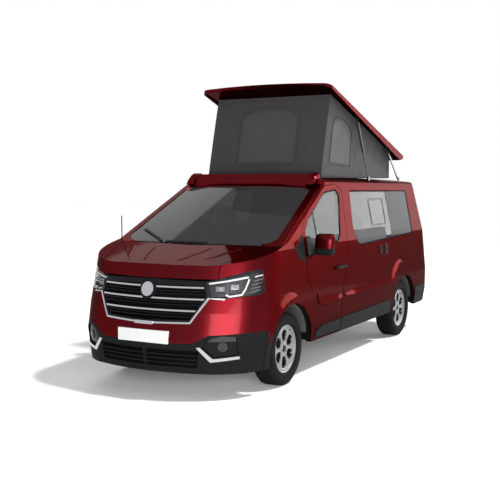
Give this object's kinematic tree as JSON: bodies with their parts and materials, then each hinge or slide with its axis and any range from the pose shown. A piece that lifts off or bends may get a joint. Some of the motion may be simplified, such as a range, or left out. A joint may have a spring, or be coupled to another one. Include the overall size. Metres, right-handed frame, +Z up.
{
  "type": "camper van",
  "caption": "Compact camper van with a raised rear-hinged pop-up roof and fabric tent, opening doors, bonnet and tailgate, steered front wheels and fitted living space.",
  "frame": {"origin": "on the ground at the middle of the overall box", "axes": "+Z up, the front faces -Y, +X is the driver's side of a left-hand-drive van"},
  "size_m": [2.266, 5.08, 2.921],
  "materials": {
    "paint": "deep red metallic clear-coat paint",
    "black_plastic": "grained black moulded plastic",
    "trim_chrome": "satin chrome trim",
    "plate_white": "blank white plate",
    "red_lens": "red lamp lens",
    "gloss_black": "gloss black plastic",
    "lamp_lens": "clear lamp lens over a dark housing",
    "glass": "tinted toughened glass",
    "steel": "black painted steel",
    "underbody": "underbody coating",
    "engine_metal": "cast block",
    "exhaust_steel": "dull exhaust steel",
    "seat_fabric": "dark grey woven fabric",
    "dash_plastic": "soft dash plastic",
    "steering_leather": "black leather rim",
    "cabinet_wood": "light grey laminate board",
    "tent_fabric": "charcoal coated canvas",
    "black_metal": "black painted steel",
    "rod_chrome": "polished rod",
    "tyre": "black rubber",
    "wheel_silver": "silver wheel cover"
  },
  "bodies": {
    "chassis": {"body_shell": "paint", "front_wings": "paint", "sail_panels": "gloss_black", "rear_bumper": "black_plastic", "front_bumper": "paint", "lower_bumper": "black_plastic", "fog_lamps": "gloss_black", "grille": "gloss_black", "chrome_trim": "trim_chrome", "front_plate": "plate_white", "headlamps": "lamp_lens", "cowl": "black_plastic", "wipers": "black_plastic", "antenna": "black_plastic", "windscreen": "glass", "side_glass": "glass", "tail_lamps": "red_lens", "side_trim": "black_plastic", "sliding_door": "paint", "hinge_mounts": "steel", "floor_pan": "underbody", "front_subframe": "steel", "rear_axle": "steel", "engine": "engine_metal", "fuel_tank": "black_plastic", "exhaust": "exhaust_steel", "seat_bases": "black_plastic", "front_seats": "seat_fabric", "dashboard": "dash_plastic", "steering_wheel": "steering_leather", "bench_base": "cabinet_wood", "rear_bench": "seat_fabric", "cabinet": "cabinet_wood", "roof_fairing": "paint", "tent": "tent_fabric"},
    "door_left": {"front_door_left": "paint", "door_glass_left": "glass", "mirror_left": "paint", "door_trim_left": "black_plastic"},
    "door_right": {"front_door_right": "paint", "door_glass_right": "glass", "mirror_right": "paint", "door_trim_right": "black_plastic"},
    "bonnet_lid": {"bonnet": "paint"},
    "rear_gate": {"tailgate": "paint", "tailgate_glass": "glass"},
    "steer_left": {"knuckle_left": "steel"},
    "steer_right": {"knuckle_right": "steel"},
    "wheel_fl": {"tyre_front_left": "tyre", "wheel_front_left": "wheel_silver"},
    "wheel_fr": {"tyre_front_right": "tyre", "wheel_front_right": "wheel_silver"},
    "wheel_rl": {"tyre_rear_left": "tyre", "wheel_rear_left": "wheel_silver"},
    "wheel_rr": {"tyre_rear_right": "tyre", "wheel_rear_right": "wheel_silver"},
    "arms": {"roof_arms": "black_metal"},
    "roof": {"pop_up_roof": "paint"},
    "rods": {"strut_rods": "rod_chrome"},
    "cylinders": {"strut_cylinders": "black_metal"}
  },
  "joints": [
    {"name": "steer_left", "type": "hinge", "parent": "chassis", "child": "steer_left", "pos_m": [0.72, -1.526, 0.343], "axis": [0, 0, 1], "range_deg": [-35, 35]},
    {"name": "steer_right", "type": "hinge", "parent": "chassis", "child": "steer_right", "pos_m": [-0.72, -1.526, 0.343], "axis": [0, 0, 1], "range_deg": [-35, 35]},
    {"name": "spin_fl", "type": "hinge", "parent": "steer_left", "child": "wheel_fl", "pos_m": [0.8075, -1.526, 0.343], "axis": [1, 0, 0], "continuous": true},
    {"name": "spin_fr", "type": "hinge", "parent": "steer_right", "child": "wheel_fr", "pos_m": [-0.8075, -1.526, 0.343], "axis": [1, 0, 0], "continuous": true},
    {"name": "spin_rl", "type": "hinge", "parent": "chassis", "child": "wheel_rl", "pos_m": [0.814, 1.572, 0.343], "axis": [1, 0, 0], "continuous": true},
    {"name": "spin_rr", "type": "hinge", "parent": "chassis", "child": "wheel_rr", "pos_m": [-0.814, 1.572, 0.343], "axis": [1, 0, 0], "continuous": true},
    {"name": "door_left_hinge", "type": "hinge", "parent": "chassis", "child": "door_left", "pos_m": [0.978, -1.215, 0.9], "axis": [0.0523, 0, -0.9986], "range_deg": [0, 65]},
    {"name": "door_right_hinge", "type": "hinge", "parent": "chassis", "child": "door_right", "pos_m": [-0.978, -1.215, 0.9], "axis": [0.0523, 0, 0.9986], "range_deg": [0, 65]},
    {"name": "bonnet_hinge", "type": "hinge", "parent": "chassis", "child": "bonnet_lid", "pos_m": [0, -1.7, 1.3], "axis": [-1, 0, 0], "range_deg": [0, 50]},
    {"name": "tailgate_hinge", "type": "hinge", "parent": "chassis", "child": "rear_gate", "pos_m": [0, 2.405, 1.885], "axis": [1, 0, 0], "range_deg": [0, 85]},
    {"name": "roof_arm_hinge", "type": "hinge", "parent": "chassis", "child": "arms", "pos_m": [0, 1.95, 1.925], "axis": [1, 0, 0], "range_deg": [0, 31.67], "deforming": ["tent"]},
    {"name": "roof_tilt", "type": "hinge", "parent": "arms", "child": "roof", "pos_m": [0, 1.502, 2.32], "axis": [1, 0, 0], "range_deg": [-13.7, 0]},
    {"name": "strut_swing", "type": "hinge", "parent": "chassis", "child": "rods", "pos_m": [0, 0.913, 1.925], "axis": [1, 0, 0], "range_deg": [0, 54.6]},
    {"name": "strut_slide", "type": "slide", "parent": "rods", "child": "cylinders", "axis": [0, -0.464, 0.8858], "range_m": [-0.2217, 0]}
  ],
  "couplings": [
    {"joint": "steer_right", "follows": "steer_left", "ratio": 1},
    {"joint": "roof_tilt", "follows": "roof_arm_hinge", "ratio": -0.4301},
    {"joint": "strut_swing", "follows": "roof_arm_hinge", "ratio": 1.7229},
    {"joint": "strut_slide", "follows": "roof_arm_hinge", "m_per_rad": -0.4007}
  ]
}
